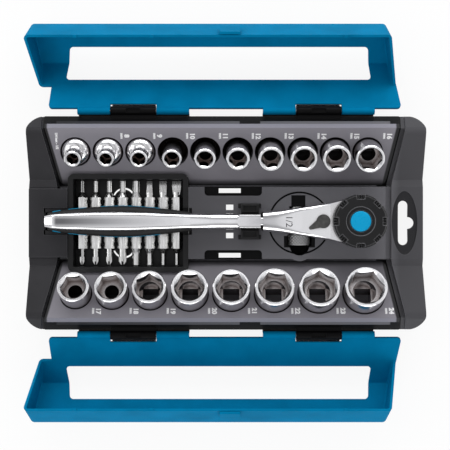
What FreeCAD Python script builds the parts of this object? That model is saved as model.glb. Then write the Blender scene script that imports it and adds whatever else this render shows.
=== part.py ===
import FreeCAD, Part
import math
import os

# Case shell: +X points to the hanger end, the two socket rows lie at +Y and -Y
case_length = 306.6
case_corner = 12.0
wall = 2.2
foot_reach = 81.6
skirt_height = 22.5
deck_height = 25.5
deck_reach = 28.0
end_rise = 2.5
end_top_reach = 71.5
end_step_reach = 33.5
end_round = 5.0
groove_depth = 3.0
groove_left = 2.5
groove_right = 4.5

# Sloping socket panels, high at their outer edges
panel_tilt = 23.0
panel_inner = 29.5
panel_outer = 72.8
panel_inner_height = 19.4
panel_left = -139.2
panel_left_slant = 10.0
panel_right = 133.0
panel_right_slant = 8.5
panel_corner = 6.0
insert_thickness = 2.0
insert_flange = 6.4

# Hinges between the case and its lids
hinge_reach = 87.4
hinge_height = 24.0
hinge_spacing = 144.4
body_knuckle_length = 35.2
body_knuckle_radius = 3.6
knuckle_slot_length = 11.4
knuckle_slot_width = 3.2
knuckle_slot_depth = 1.1
lid_knuckle_length = 25.5
lid_knuckle_radius = 3.0
pin_radius = 1.25

# Lids, drawn shut and then swung open about their hinges
roof_height = 60.0
crease_reach = 60.6
lip_reach = 27.4
lid_wall = 2.0
lid_corner = 3.5
lid_open = 153.0
lid_gap = 0.8
lid_cover = 1.0
strip_left_top = -137.3
strip_left_foot = -138.4
strip_corner = 3.0
wing_left_back = -147.0
wing_left_front = -153.7
window_left_rear = -126.8
window_left_front = -123.8
window_right_rear = 114.9
window_right_front = 112.7
window_on_roof = 13.5
window_on_wall = 16.0
window_corner = 3.0
latch_width = 15.6
latch_centre = 2.9
latch_stand_off = 1.2
latch_depth = 2.0
latch_thickness = 2.0
latch_rise = 14.0
latch_bridge = 3.0
lip_rib_places = [-114.5, -56.5, 90.8]
lip_rib_length = 3.0
lip_rib_height = 0.5

# Sockets for the 12.7 mm square drive, standing tilted in the panels
square_drive = 12.7
socket_length = 38.0
socket_seat = 20.8
socket_row_reach = 54.9
small_sizes = [8, 9, 10, 11, 12, 13, 14, 15, 16]
small_diameters = [13.0, 13.7, 15.0, 16.5, 18.0, 19.4, 20.4, 21.5, 22.0]
small_turns = [12, 24, 6, -8, 14, 10, -6, 4, -5]
domed_sizes = [8, 9]
bit_holder_diameter = 13.0
bit_holder_turn = 20.0
large_sizes = [17, 18, 19, 20, 21, 22, 23, 24]
large_diameters = [24.0, 25.0, 26.0, 28.0, 28.4, 30.0, 31.0, 32.0]
large_turns = [3, 8, 30, 0, 2, -8, 30, 4]
drive_end_diameter = 22.6
dome_height = 17.5
dome_length = 7.0
dome_bulge = 1.3
step_height = 11.0
step_length = 3.0
socket_edge = 0.6
hex_depth = 13.0
hex_lead_steepness = 1.2
hex_lead_spare = 0.15
square_depth = 14.0
through_share = 0.44
narrow_through = 5.6
wide_through = 9.1
wide_from_size = 19
small_row_centre = -3.5
small_pitch = 25.1
large_row_centre = -4.8
large_gap = 3.74
cup_wall = 1.6
pocket_clear_height = 10.0

# Screwdriver bits and their tray
bit_across = 8.0
bit_length = 30.0
bit_tip_length = 13.0
bit_neck_length = 4.0
torx_radii = [1.4, 1.7, 2.0, 2.3, 2.9]
torx_valley = 0.74
slotted_widths = [4.3, 5.8, 7.0]
slotted_neck = 3.0
slotted_root = 2.6
slotted_edge = 0.6
slotted_flat = 5.0
cross_radii = [1.8, 2.3, 2.3, 3.0]
cross_web = 0.28
cross_blunt = 0.4
cross_point = 3.0
cross_flute = 6.5
hex_key_sizes = [5.5, 4.5, 3.0, 2.5]
bit_pitch = 10.66
bit_row_centre = -76.3
bit_row_gap = 6.4
bit_count = 8
tray_floor_height = 10.0
tray_wall = 4.2
tray_end_space = 1.0
tray_side_space = 5.5
tray_corner = 5.0
rib_width = 3.0
rib_share = 0.6
rib_places = [0.2, 0.8]
slit_radius = 9.0
slit_width = 1.4
slit_offset = -4.7
slit_reach = 19.0
slit_start = 3.0

# Reversible ratchet, lying along X on the deck
ratchet_y = 1.2
ratchet_height = 31.0
neck_half_width = 3.7
head_x = 102.1
head_radius = 19.6
head_thickness = 17.0
head_flare = [(50.0, 5.2), (74.0, 10.0), (91.1, 16.4)]
head_rise = [48.0, 80.0]
head_rise_half = 4.6
dial_radius = 20.5
dial_thickness = 7.5
dial_lobes = 8
dial_notch_width = 6.0
dial_notch_reach = 16.8
dial_notch_floor = 3.0
dial_bevel = 1.2
dial_ring_radius = 11.0
dial_ring_depth = 1.0
button_radius = 7.8
button_proud = 0.6
button_depth = 2.5
button_edge = 1.0
button_stem_radius = 2.2
button_travel = 2.5
spring_wire = 2.4
gear_radius = 12.6
gear_teeth = 36
gear_tooth = 1.1
gear_thickness = 9.0
stem_radius = 9.4
collar_radius = 9.6
square_length = 16.0
stem_bore_floor = 3.0
ball_radius = 2.2
ball_sunk = 0.6
ball_height = 7.0
ball_seat_reach = 1.05
lever_x = 74.5
lever_radius = 4.9
lever_thickness = 3.0
lever_shaft = 2.6
lever_tail = 11.0
lever_tail_half = 1.4
lever_tail_root = 0.9
lever_rest = 207.0
pawl_near = 1.4
pawl_far = 3.0
pawl_half = 6.4
pawl_play = 0.5
pawl_gear_space = 0.2
handle_end = -139.7
handle_widest = -80.0
grip_start = -137.5
grip_end = -27.5
handle_stations = [
    (handle_end, 4.5, 4.0, 4.0),
    (handle_end + 8, 6.3, 5.4, 6.0),
    (handle_end + 24, 7.2, 6.0, 7.2),
    (handle_widest, 7.9, 6.0, 7.8),
    (grip_end, 6.0, 5.4, 6.2),
    (20.0, neck_half_width, 4.8, 4.8),
    (38.0, neck_half_width, 4.8, 4.8),
    (62.0, 6.0, 6.0, 6.0),
]
grip_stations = [
    (grip_start, 6.9, 6.5, 3.4),
    (grip_start + 18, 9.6, 8.6, 5.2),
    (handle_widest, 12.0, 9.8, 6.0),
    (-48.0, 9.8, 8.8, 5.4),
    (grip_end, 7.2, 6.6, 4.6),
]
grip_drop = 10.2
cradle_half_width = 10.4
cradle_spare = 2.0
bar_roundness = 0.6
bar_steps = 4
inlay_slivers = [(-133.8, -127.7), (-121.5, -107.7), (-96.9, -50.8)]
inlay_core = 6.4
inlay_strip = 8.3
inlay_low = -0.8
inlay_high = 2.4
inlay_proud = 0.25

# Short drive adapter kept under the ratchet's neck
adapter_x = 57.2
adapter_head_radius = 9.0
adapter_head_length = 8.0
adapter_body_radius = 7.6
adapter_body_taper = 0.9
adapter_body_length = 9.0
adapter_square = 9.5
adapter_square_length = 13.0
adapter_mouth_depth = 10.0
adapter_front = -17.4

# Deck details
ring_groove_radius = 24.5
ring_groove_width = 1.4
ring_groove_depth = 0.9
clip_x = 18.5
clip_length = 14.0
clip_thickness = 2.2
clip_rise = 4.0
deck_hole_x = [0.0, 5.7]
deck_hole_reach = 11.0
deck_hole_half = 2.1
hanger_x = 139.0
hanger_slot_x = 138.0
hanger_dish_length = 50.0
hanger_dish_width = 20.0
hanger_dish_depth = 3.0
hanger_slot_length = 34.6
hanger_slot_width = 7.6
hanger_key = 4.6
block_right = -123.4
block_rise = 1.5
latch_recess_depth = 1.2
latch_recess_span = [-16.8, 28.0]
latch_recess_reach = 21.2
latch_recess_corner = 3.0
latch_slot_spare = 0.8
recess_plate = 2.0
stem_well_spare = 1.0

# Clearances
slide_fit = 0.4
pocket_fit = 0.6
seat_gap = 0.3
pin_fit = 0.25
press_clearance = 0.05


def vec(x, y, z):
    return FreeCAD.Vector(x, y, z)


def box(x0, x1, y0, y1, z0, z1):
    return Part.makeBox(x1 - x0, y1 - y0, z1 - z0, vec(x0, y0, z0))


def disc(radius, x, y, z0, z1):
    return Part.makeCylinder(radius, z1 - z0, vec(x, y, z0))


def rod(radius, x0, x1, y, z):
    return Part.makeCylinder(radius, x1 - x0, vec(x0, y, z), vec(1, 0, 0))


def prism(corners, along):
    return Part.Face(Part.makePolygon(corners + corners[:1])).extrude(along)


def prism_x(outline, x0, x1):
    return prism([vec(x0, y, z) for y, z in outline], vec(x1 - x0, 0, 0))


def prism_y(outline, y0, y1):
    return prism([vec(x, y0, z) for x, z in outline], vec(0, y1 - y0, 0))


def prism_z(outline, z0, z1):
    return prism([vec(x, y, z0) for x, y in outline], vec(0, 0, z1 - z0))


# Prism along Z with the given radius at each upright corner, 0 for a sharp one
def soft_prism(outline, radii, z0, z1):
    block = prism_z(outline, z0, z1)
    for (x, y), radius in zip(outline, radii):
        axis = vec(x, y, (z0 + z1) / 2)
        corner = [e for e in block.Edges if e.CenterOfMass.distanceToPoint(axis) < 0.01]
        if radius:
            block = block.makeFillet(radius, corner)
    return block


def rounded_box(x0, x1, y0, y1, z0, z1, radius):
    corners = [(x0, y0), (x1, y0), (x1, y1), (x0, y1)]
    return soft_prism(corners, [radius] * 4, z0, z1)


def polygon_z(sides, radius, z0, z1, turn=0.0):
    angles = [turn + 2 * math.pi * i / sides for i in range(sides)]
    return prism_z([(radius * math.cos(a), radius * math.sin(a)) for a in angles], z0, z1)


def to_lower_side(shape):
    return shape.mirror(vec(0, 0, 0), vec(0, 1, 0))


def both_sides(half):
    return half + [(-y, z) for y, z in reversed(half)]


def fused(shapes):
    return shapes[0].multiFuse(shapes[1:]).removeSplitter()


# A folded sheet: a (Y, Z) path and its copy set off to the left of the way it runs
def folded_sheet(path, thickness):
    points = [vec(y, z, 0) for y, z in path]
    runs = [(b - a).normalize() for a, b in zip(points, points[1:])]
    inner = []
    for i, point in enumerate(points):
        before = runs[max(i - 1, 0)]
        after = runs[min(i, len(runs) - 1)]
        left = vec(-before.y - after.y, before.x + after.x, 0).normalize()
        reach = thickness / left.dot(vec(-before.y, before.x, 0))
        inner.append(point + left * reach)
    return path + [(p.x, p.y) for p in reversed(inner)]


# Heights and plan lines that several pieces share
slope = math.tan(math.radians(panel_tilt))
skirt_reach = hinge_reach - body_knuckle_radius - slide_fit
case_half = case_length / 2


def panel_height(y):
    return panel_inner_height + (y - panel_inner) * slope


def panel_left_at(y):
    return panel_left + panel_left_slant * (panel_outer - y) / (panel_outer - panel_inner)


def panel_right_at(y):
    return panel_right - panel_right_slant * (panel_outer - y) / (panel_outer - panel_inner)


def left_end_edge(y):
    return panel_left_at(y) - groove_left


def right_end_edge(y):
    return panel_right_at(y) + groove_right


# Case shell: a core under the panels and the deck, and a raised piece at each end
def core_half(drop, inset, panel_drop):
    return [
        (foot_reach - inset, 0.0),
        (skirt_reach - inset - panel_drop / 2, skirt_height - drop),
        (panel_outer - inset - panel_drop, panel_height(panel_outer) - drop - panel_drop),
        (panel_inner, panel_inner_height - drop - panel_drop),
        (deck_reach, deck_height - drop),
    ]


def end_half(drop, inset):
    return [
        (foot_reach - inset, 0.0),
        (skirt_reach - inset, skirt_height - drop),
        (end_top_reach - inset, panel_height(end_top_reach) + end_rise - drop),
        (end_step_reach, panel_height(end_step_reach) + end_rise - drop),
        (deck_reach, deck_height - drop),
    ]


def end_block(drop, inset):
    block = prism_x(both_sides(end_half(drop, inset)), -case_half, case_half)
    ridges = (skirt_reach - inset, end_top_reach - inset)
    lines = [e for e in block.Edges if abs(e.CenterOfMass.x) < 0.01]
    lines = [e for e in lines if min(abs(abs(e.CenterOfMass.y) - r) for r in ridges) < 0.01]
    return block.makeFillet(end_round, lines)


def core_plan(inset):
    left = [(panel_left_at(y) + inset, y) for y in (deck_reach, hinge_reach)]
    right = [(panel_right_at(y) - inset, y) for y in (hinge_reach, deck_reach)]
    half = left + right
    return half + [(x, -y) for x, y in reversed(half)]


def end_plan(edge, shift, outer_x):
    near = [(edge(y) + shift, y) for y in (hinge_reach, deck_reach)]
    far = [(outer_x, -hinge_reach), (outer_x, hinge_reach)]
    return near + [(x, -y) for x, y in reversed(near)] + far


def case_outline(inset):
    x = case_half - inset
    y = skirt_reach - inset
    return rounded_box(-x, x, -y, y, 0, roof_height, case_corner - inset)


def case_skin(drop, inset, panel_drop):
    low = both_sides(core_half(groove_depth + drop, inset, panel_drop))
    low = prism_x(low, -case_half, case_half)
    core = both_sides(core_half(drop, inset, panel_drop))
    core = prism_x(core, -case_half, case_half).common(prism_z(core_plan(inset), 0, roof_height))
    ends = end_block(drop, inset)
    left = ends.common(prism_z(end_plan(left_end_edge, -inset, -case_half), 0, roof_height))
    right = ends.common(prism_z(end_plan(right_end_edge, inset, case_half), 0, roof_height))
    return low.multiFuse([core, left, right]).common(case_outline(inset))


# Where a socket's axis points and where it crosses its panel
def socket_axis(side):
    lean = math.radians(panel_tilt)
    return vec(0, -side * math.sin(lean), math.cos(lean))


def panel_point(x, side):
    return vec(x, side * socket_row_reach, panel_height(socket_row_reach))


def small_row():
    middle = len(small_sizes) / 2
    return [small_row_centre + (i - middle) * small_pitch for i in range(len(small_sizes) + 1)]


def large_row():
    steps = [(a + b) / 2 + large_gap for a, b in zip(large_diameters, large_diameters[1:])]
    places = [sum(steps[:i]) for i in range(len(large_diameters))]
    return [large_row_centre - places[-1] / 2 + p for p in places]


def pockets(extra, top, depth):
    rods = [(x, 1, drive_end_diameter / 2) for x in small_row()]
    rods += [(x, -1, d / 2) for x, d in zip(large_row(), large_diameters)]
    cups = []
    for x, side, radius in rods:
        axis = socket_axis(side)
        start = panel_point(x, side) + axis * top
        cups.append(Part.makeCylinder(radius + pocket_fit + extra, top + depth, start, axis * -1))
    return cups


tray_half_y = bit_row_gap / 2 + bit_length + tray_end_space + tray_wall
tray_half_x = bit_pitch * (bit_count - 1) / 2 + tray_side_space + tray_wall


def tray_block(grow, z0, z1):
    x0 = bit_row_centre - tray_half_x - grow
    x1 = bit_row_centre + tray_half_x + grow
    y1 = tray_half_y + grow
    return rounded_box(x0, x1, -y1, y1, z0, z1, tray_corner + grow)


head_bottom = ratchet_height - head_thickness / 2
head_top = ratchet_height + head_thickness / 2
gear_half = gear_thickness / 2
adapter_height = deck_height - adapter_head_radius
adapter_shoulder = adapter_front + adapter_head_length
adapter_back = adapter_shoulder + adapter_body_length + adapter_square_length


def adapter_space(grow, z0):
    spare = slide_fit + grow
    reach = adapter_head_radius + spare
    neck = adapter_body_radius + spare
    front = adapter_front - spare
    split = adapter_shoulder + spare
    head = box(adapter_x - reach, adapter_x + reach, front, split, z0, deck_height)
    body = box(adapter_x - neck, adapter_x + neck, split, adapter_back + spare, z0, deck_height)
    thumb = disc(neck - slide_fit, adapter_x, front, z0, deck_height)
    return head.fuse(body).fuse(thumb)


# Plan of the ratchet's head: two flaring arcs and a round end
def head_outline(grow, z0, z1):
    flare = [vec(x, ratchet_y + reach + grow, z0) for x, reach in head_flare]
    far = vec(head_x + head_radius + grow, ratchet_y, z0)
    under = [vec(p.x, 2 * ratchet_y - p.y, z0) for p in flare]
    edges = [
        Part.Arc(flare[0], flare[1], flare[2]).toShape(),
        Part.Arc(flare[2], far, under[2]).toShape(),
        Part.Arc(under[2], under[1], under[0]).toShape(),
        Part.LineSegment(under[0], flare[0]).toShape(),
    ]
    return Part.Face(Part.Wire(edges)).extrude(vec(0, 0, z1 - z0))


# Keyhole slot and dish that hang the case on a hook
def hanger_slot():
    radius = hanger_slot_width / 2
    half = hanger_slot_length / 2 - radius
    ends = [disc(radius, hanger_slot_x, y, 0, deck_height) for y in (-half, half)]
    bar = box(hanger_slot_x - radius, hanger_slot_x + radius, -half, half, 0, deck_height)
    key = disc(hanger_key, hanger_slot_x + radius, 0, 0, deck_height)
    return fused([bar, ends[0], ends[1], key])


def hanger_dish(depth):
    bowl = Part.makeSphere(1.0)
    spread = FreeCAD.Matrix()
    spread.scale(hanger_dish_width / 2, hanger_dish_length / 2, depth)
    bowl = bowl.transformGeometry(spread)
    bowl.translate(vec(hanger_x, 0, deck_height))
    return bowl


def hinge_centres():
    return (-hinge_spacing / 2, hinge_spacing / 2)


# Black hinge barrels of the case, each on an arm from the skirt
def body_knuckles(side):
    half = body_knuckle_length / 2
    y = side * hinge_reach
    arm_y = sorted((side * (skirt_reach - 2 * wall), y))
    low = hinge_height - body_knuckle_radius
    top = hinge_height + body_knuckle_radius
    slot_y = (y - knuckle_slot_width / 2, y + knuckle_slot_width / 2)
    slot_half = knuckle_slot_length / 2
    knuckles = []
    for x in hinge_centres():
        barrel = rod(body_knuckle_radius, x - half, x + half, y, hinge_height)
        arm = box(x - half, x + half, arm_y[0], arm_y[1], low, hinge_height + pin_radius)
        slot = box(x - slot_half, x + slot_half, *slot_y, top - knuckle_slot_depth, top)
        knuckles.append(barrel.fuse(arm).cut(slot))
    return knuckles


def pin_bores(side, clearance):
    half = body_knuckle_length / 2 + slide_fit + lid_knuckle_length
    radius = pin_radius + clearance
    return [rod(radius, x - half, x + half, side * hinge_reach, hinge_height) for x in hinge_centres()]


# Spring posts that hold the ratchet's neck
def clips():
    x = (clip_x - clip_length / 2, clip_x + clip_length / 2)
    z = (deck_height - wall, ratchet_height + clip_rise)
    inner = neck_half_width + slide_fit
    posts = []
    for side in (-1, 1):
        y = sorted((ratchet_y + side * inner, ratchet_y + side * (inner + clip_thickness)))
        posts.append(box(*x, *y, *z))
    return posts


def latch_cuts(side):
    outer = lip_reach - latch_stand_off
    half = latch_width / 2 + latch_slot_spare
    y = sorted((side * (outer - latch_thickness - latch_slot_spare), side * (outer + latch_slot_spare)))
    slot = box(latch_centre - half, latch_centre + half, y[0], y[1], 0, deck_height)
    x0, x1 = latch_recess_span
    plan = [(x0, latch_recess_reach), (x1, latch_recess_reach), (x1, panel_inner), (x0, panel_inner)]
    corners = [latch_recess_corner, latch_recess_corner, 0, 0]
    recess = soft_prism(plan, corners, deck_height - latch_recess_depth, deck_height)
    return [slot, recess if side > 0 else to_lower_side(recess)]


def deck_cuts():
    groove = disc(ring_groove_radius, adapter_x, 0, deck_height - ring_groove_depth, deck_height)
    groove_core = disc(ring_groove_radius - ring_groove_width, adapter_x, 0, 0, deck_height)
    well_floor = head_bottom - square_length - stem_well_spare
    cuts = [
        head_outline(slide_fit, head_bottom - seat_gap, roof_height),
        disc(stem_radius + slide_fit, head_x, ratchet_y, well_floor, roof_height),
        adapter_space(0, adapter_height - adapter_head_radius),
        groove.cut(groove_core),
        hanger_dish(hanger_dish_depth),
        hanger_slot(),
    ]
    for side in (-1, 1):
        hole = ratchet_y + side * deck_hole_reach
        cuts.append(box(*deck_hole_x, hole - deck_hole_half, hole + deck_hole_half, 0, deck_height))
        cuts += latch_cuts(side)
    return cuts


# Plastic under the deck that carries what is let into it
def deck_bosses():
    dish = hanger_dish(hanger_dish_depth + wall)
    under_deck = box(0, case_length, -skirt_reach, skirt_reach, 0, deck_height)
    well_floor = head_bottom - square_length - stem_well_spare - recess_plate
    block_reach = lip_reach - lid_gap
    block = (-case_half, block_right, -block_reach, block_reach)
    return [
        head_outline(slide_fit + wall, head_bottom - seat_gap - recess_plate, deck_height),
        disc(stem_radius + slide_fit + wall, head_x, ratchet_y, well_floor, deck_height),
        adapter_space(wall, adapter_height - adapter_head_radius - recess_plate),
        dish.common(under_deck),
        box(*block, deck_height - wall, deck_height + block_rise),
    ]


def handle_cradle():
    floor = ratchet_height - grip_drop
    y0 = ratchet_y - cradle_half_width
    y1 = ratchet_y + cradle_half_width
    return box(handle_end - cradle_spare, grip_end + cradle_spare / 2, y0, y1, floor, roof_height)


def case_body():
    skin = case_skin(0, 0, 0)
    shell = skin.cut(case_skin(wall, wall, insert_thickness))
    cups = pockets(cup_wall, -insert_thickness, socket_seat + cup_wall)
    added = deck_bosses() + [cup.common(skin) for cup in cups] + clips()
    added += body_knuckles(1) + body_knuckles(-1)
    cuts = pockets(0, pocket_clear_height, socket_seat) + deck_cuts()
    cuts += [tray_block(0, 0, roof_height), handle_cradle()]
    cuts += [insert_solid(), to_lower_side(insert_solid())]
    cuts += pin_bores(1, press_clearance) + pin_bores(-1, press_clearance)
    return shell.multiFuse(added).cut(cuts).removeSplitter()


# Grey panel that lines one sloping side and folds over its outer edge
def insert_solid():
    outer = vec(panel_outer, panel_height(panel_outer), 0)
    down = (vec(skirt_reach, skirt_height, 0) - outer).normalize()
    edge = outer + down * insert_flange
    path = [(edge.x, edge.y), (outer.x, outer.y), (panel_inner, panel_inner_height)]
    sheet = prism_x(folded_sheet(path, insert_thickness), -case_half, case_half)
    ends = (hinge_reach, panel_inner)
    plan = [(panel_left_at(y), y) for y in ends] + [(panel_right_at(y), y) for y in reversed(ends)]
    return sheet.common(soft_prism(plan, [0, panel_corner, panel_corner, 0], 0, roof_height))


def socket_panel(side):
    panel = insert_solid() if side > 0 else to_lower_side(insert_solid())
    return panel.cut(pockets(0, pocket_clear_height, socket_seat) + [tray_block(0, 0, roof_height)])


# Black tray for the bits, pressed into the deck
def bit_centres():
    return [bit_row_centre + (i - (bit_count - 1) / 2) * bit_pitch for i in range(bit_count)]


def tray_slit(side):
    x = bit_row_centre + slit_offset
    y = side * slit_reach
    ring = disc(slit_radius, x, y, 0, tray_floor_height)
    ring = ring.cut(disc(slit_radius - slit_width, x, y, 0, tray_floor_height))
    ends = sorted((y + side * slit_start, y + side * slit_radius))
    return ring.common(box(x - slit_radius, x + slit_radius, ends[0], ends[1], 0, tray_floor_height))


def bit_tray():
    floor = tray_floor_height
    tray = tray_block(-press_clearance, floor - wall, deck_height)
    tray = tray.cut(tray_block(-tray_wall, floor, roof_height))
    shank = bit_length - bit_tip_length
    inner_x = tray_half_x - tray_wall
    inner_y = tray_half_y - tray_wall
    sides = (bit_row_centre - inner_x, bit_row_centre + inner_x)
    ribs = []
    for side in (-1, 1):
        for share in rib_places:
            y = side * (bit_row_gap / 2 + shank * share)
            rib = box(*sides, y - rib_width / 2, y + rib_width / 2, floor, floor + bit_across * rib_share)
            ribs.append(rib)
    half = bit_across / math.sqrt(3) + slide_fit
    channels = [box(x - half, x + half, -inner_y, inner_y, floor, deck_height) for x in bit_centres()]
    return tray.multiFuse(ribs).cut(channels + [tray_slit(1), tray_slit(-1), handle_cradle()])


def hinge_pin(side, index):
    return pin_bores(side, 0)[index]


# Lid, drawn shut over the +Y panel: a rounded box that is open to the panel and the deck
lid_lean = math.atan2(roof_height - hinge_height, hinge_reach - crease_reach)


def lid_right_at(y):
    return panel_right_at(y) + lid_cover


def lid_left_at(y):
    meet = wing_meet()[0]
    return wing_left_front + (wing_left_back - wing_left_front) * (y - lip_reach) / (meet - lip_reach)


# Point on the outside of the lid's rear wall, at a distance up from the hinge axis
def rear_wall_point(distance):
    y = hinge_reach - distance * math.cos(lid_lean)
    return (y, hinge_height + distance * math.sin(lid_lean))


# Where the free edge of a lid's end wall meets the lid's rear wall
def wing_meet():
    rise = -math.tan(lid_lean)
    top = panel_inner_height + end_rise + lid_gap
    y = (top - panel_inner * slope - hinge_height + rise * hinge_reach) / (rise - slope)
    return (y, hinge_height + rise * (y - hinge_reach))


# Section of the lid's box, or of the space in it, which runs on past the open side
def lid_section(inset):
    meet_y, meet_z = wing_meet()
    past = 4 * inset
    fold = crease_reach - inset * math.tan(lid_lean / 2)
    foot_z = meet_z - past
    foot_y = fold + (roof_height - inset - foot_z) / math.tan(lid_lean)
    lip = lip_reach + inset
    return [
        (lip, deck_height + lid_gap - past),
        (lip, roof_height - inset),
        (fold, roof_height - inset),
        (foot_y, foot_z),
    ]


def lid_box(inset):
    reach = (2 * hinge_reach, 0.0)
    section = prism_x(lid_section(inset), -case_length, case_length)
    left = [(lid_left_at(y) + inset, y) for y in reach]
    right = [(lid_right_at(y) - inset, y) for y in reversed(reach)]
    block = section.common(prism_z(left + right, -roof_height, 2 * roof_height))
    first, last = lid_section(inset)[0], lid_section(inset)[-1]
    along = vec(0, last[0] - first[0], last[1] - first[1])
    start = vec(0, first[0], first[1])

    def on_open_side(edge):
        gaps = [vec(0, v.Y, v.Z) - start for v in edge.Vertexes]
        return all(gap.cross(along).Length < 0.01 * along.Length for gap in gaps)

    walls = [e for e in block.Edges if not on_open_side(e)]
    return block.makeFillet(lid_corner - inset, walls)


# Rear wall between the box and the hinge, drawn flat and then leant
def hinge_strip():
    meet_y, meet_z = wing_meet()
    low = pin_radius + pin_fit
    top = (meet_z - hinge_height) / math.sin(lid_lean) + lid_wall
    right = [lid_right_at(rear_wall_point(d)[0]) for d in (low, top)]
    outline = [(strip_left_foot, low), (right[0], low), (right[1], top), (strip_left_top, top)]
    strip = soft_prism(outline, [strip_corner, strip_corner, 0, 0], 0, lid_wall)
    strip.rotate(vec(0, 0, 0), vec(1, 0, 0), 180 - math.degrees(lid_lean))
    strip.translate(vec(0, hinge_reach, hinge_height))
    return strip


# Window across the crease, cut along the line that halves the fold
def window_cut():
    half_fold = lid_lean / 2
    front = -window_on_roof * math.cos(half_fold)
    rear = window_on_wall * math.cos(half_fold)
    outline = [
        (window_left_front, front),
        (window_right_front, front),
        (window_right_rear, rear),
        (window_left_rear, rear),
    ]
    depth = window_on_roof
    window = soft_prism(outline, [window_corner] * 4, -depth, depth)
    window.rotate(vec(0, 0, 0), vec(1, 0, 0), -math.degrees(half_fold))
    window.translate(vec(0, crease_reach, roof_height))
    return window


def latch_tab():
    outer = lip_reach - latch_stand_off
    x = (latch_centre - latch_width / 2, latch_centre + latch_width / 2)
    top = deck_height + latch_rise
    tongue = box(*x, outer - latch_thickness, outer, deck_height - latch_depth, top)
    bridge = box(*x, outer, lip_reach + lid_wall / 2, top - latch_bridge, top)
    return [tongue, bridge]


def lip_ribs():
    edge = deck_height + lid_gap
    half = lip_rib_length / 2
    z = (edge - lip_rib_height, edge + lid_wall)
    return [box(x - half, x + half, lip_reach, lip_reach + lid_wall, *z) for x in lip_rib_places]


def shut_lid():
    half = body_knuckle_length / 2 + slide_fit
    barrels = []
    notches = []
    for x in hinge_centres():
        for x0 in (x - half - lid_knuckle_length, x + half):
            barrels.append(rod(lid_knuckle_radius, x0, x0 + lid_knuckle_length, hinge_reach, hinge_height))
        notches.append(rod(body_knuckle_radius + lid_wall, x - half, x + half, hinge_reach, hinge_height))
    shell = lid_box(0).cut([lid_box(lid_wall), window_cut()])
    strip = hinge_strip().cut(notches)
    lid = shell.multiFuse([strip] + barrels + latch_tab() + lip_ribs())
    return lid.cut(pin_bores(1, pin_fit)).removeSplitter()


def lid(side):
    open_lid = shut_lid()
    open_lid.rotate(vec(0, hinge_reach, hinge_height), vec(1, 0, 0), -lid_open)
    return open_lid if side > 0 else to_lower_side(open_lid)


# Sockets stand along +Z on their drive ends before they are tilted into their pockets
def socket_blank(work, drive, shoulder):
    line = [(0, 0), (drive - socket_edge, 0), (drive, socket_edge)]
    rim = [(work, socket_length - socket_edge), (work - socket_edge, socket_length), (0, socket_length)]
    if shoulder:
        start, length = shoulder
        line += [(drive, start), (work, start + length)]
    corners = [vec(r, 0, z) for r, z in line + rim]
    edges = [Part.LineSegment(a, b).toShape() for a, b in zip(corners, corners[1:] + corners[:1])]
    if shoulder == (dome_height, dome_length):
        foot, top = corners[3], corners[4]
        out = vec(top.z - foot.z, 0, foot.x - top.x).normalize()
        edges[3] = Part.Arc(foot, (foot + top) * 0.5 + out * dome_bulge, top).toShape()
    return Part.Face(Part.Wire(edges)).revolve(vec(0, 0, 0), vec(0, 0, 1), 360)


def socket(across, blank, turn):
    corner = across / math.sqrt(3)
    mouth = corner + hex_lead_spare
    lead = (mouth - across / 2) * hex_lead_steepness
    wide = across >= wide_from_size
    through = min(through_share * across, wide_through if wide else narrow_through)
    hexagon = polygon_z(6, corner, socket_length - hex_depth, socket_length + 1, math.radians(turn))
    square = polygon_z(4, square_drive / math.sqrt(2), -1, square_depth, math.pi / 4)
    bore = disc(through, 0, 0, square_depth if wide else 0, socket_length)
    cone = Part.makeCone(across / 2, mouth, lead, vec(0, 0, socket_length - lead))
    return blank.cut([hexagon, square, bore, cone])


def seated(piece, x, side):
    piece.rotate(vec(0, 0, 0), vec(1, 0, 0), side * panel_tilt)
    lift = seat_gap - socket_seat
    piece.translate(panel_point(x, side) + socket_axis(side) * lift)
    return piece


# Bits stand along +Z on their shanks before they are laid along Y, tips outwards
bit_shank = bit_length - bit_tip_length


def bit_blank():
    return polygon_z(6, bit_across / math.sqrt(3), 0, bit_shank)


def torx_bit(radius):
    points = []
    for i in range(12):
        reach = radius if i % 2 == 0 else radius * torx_valley
        points.append((reach * math.cos(math.pi * i / 6), reach * math.sin(math.pi * i / 6)))
    neck = Part.makeCone(bit_across / 2, radius, bit_neck_length, vec(0, 0, bit_shank))
    return fused([bit_blank(), neck, prism_z(points, bit_shank, bit_length)])


def hex_bit(across):
    neck = Part.makeCone(bit_across / 2, across / 2, bit_neck_length, vec(0, 0, bit_shank))
    return fused([bit_blank(), neck, polygon_z(6, across / math.sqrt(3), bit_shank, bit_length)])


def slotted_bit(width):
    root = bit_shank + bit_neck_length / 2
    half = width / 2
    neck = disc(slotted_neck, 0, 0, bit_shank, bit_shank + bit_neck_length)
    side = [(slotted_root, root), (half, bit_length - slotted_flat), (half, bit_length)]
    blade = prism_y(side + [(-x, z) for x, z in reversed(side)], -slotted_neck, slotted_neck)
    taper = [(slotted_root, root), (slotted_edge, bit_length)]
    wedge = prism_x(taper + [(-y, z) for y, z in reversed(taper)], -bit_across, bit_across)
    return fused([bit_blank(), neck, blade.common(wedge)])


def cross_bit(radius):
    shoulder = bit_length - cross_point
    web = radius * cross_web
    neck = disc(radius, 0, 0, bit_shank, shoulder)
    point = Part.makeCone(radius, radius * cross_blunt, cross_point, vec(0, 0, shoulder))
    flutes = []
    for quarter in range(4):
        flute = box(web, 2 * radius, web, 2 * radius, bit_length - cross_flute, bit_length + 1)
        flute.rotate(vec(0, 0, 0), vec(0, 0, 1), 90 * quarter)
        flutes.append(flute)
    return fused([bit_blank(), neck.fuse(point).cut(flutes)])


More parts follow.
